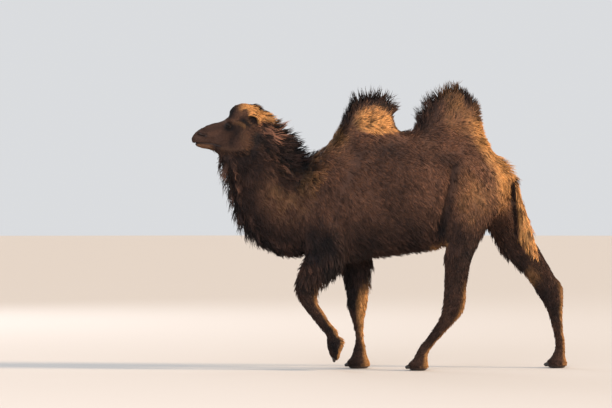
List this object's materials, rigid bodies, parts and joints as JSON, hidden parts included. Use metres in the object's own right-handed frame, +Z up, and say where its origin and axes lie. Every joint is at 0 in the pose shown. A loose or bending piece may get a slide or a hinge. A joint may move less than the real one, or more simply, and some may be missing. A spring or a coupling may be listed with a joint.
{
  "type": "bactrian camel model",
  "caption": "Life-size still model of a shaggy dark-brown camel with crested humps, walking with one forefoot lifted.",
  "frame": {"origin": "middle of the bounding box, on the floor under the three standing feet", "axes": "+Z up, the nose points along -Y, +X is the animal's left side"},
  "size_m": [0.7, 2.7876, 2.0966],
  "materials": {
    "coat": "long matt woolly hair, dark brown with tan humps, rump and poll",
    "eye": "wet gloss, near-black brown",
    "nail": "dull dark horn"
  },
  "bodies": {
    "root": {"ear_left": "coat", "ear_right": "coat", "foot_front_left": "coat", "foot_front_right": "coat", "foot_rear_left": "coat", "foot_rear_right": "coat", "leg_front_left": "coat", "leg_front_right": "coat", "leg_rear_left": "coat", "leg_rear_right": "coat", "head": "coat", "hump_front": "coat", "hump_rear": "coat", "neck": "coat", "tail": "coat", "trunk": "coat", "eye_left": "eye", "eye_right": "eye", "nail_front_left_left": "nail", "nail_front_left_right": "nail", "nail_front_right_left": "nail", "nail_front_right_right": "nail", "nail_rear_left_left": "nail", "nail_rear_left_right": "nail", "nail_rear_right_left": "nail", "nail_rear_right_right": "nail"}
  },
  "joints": []
}
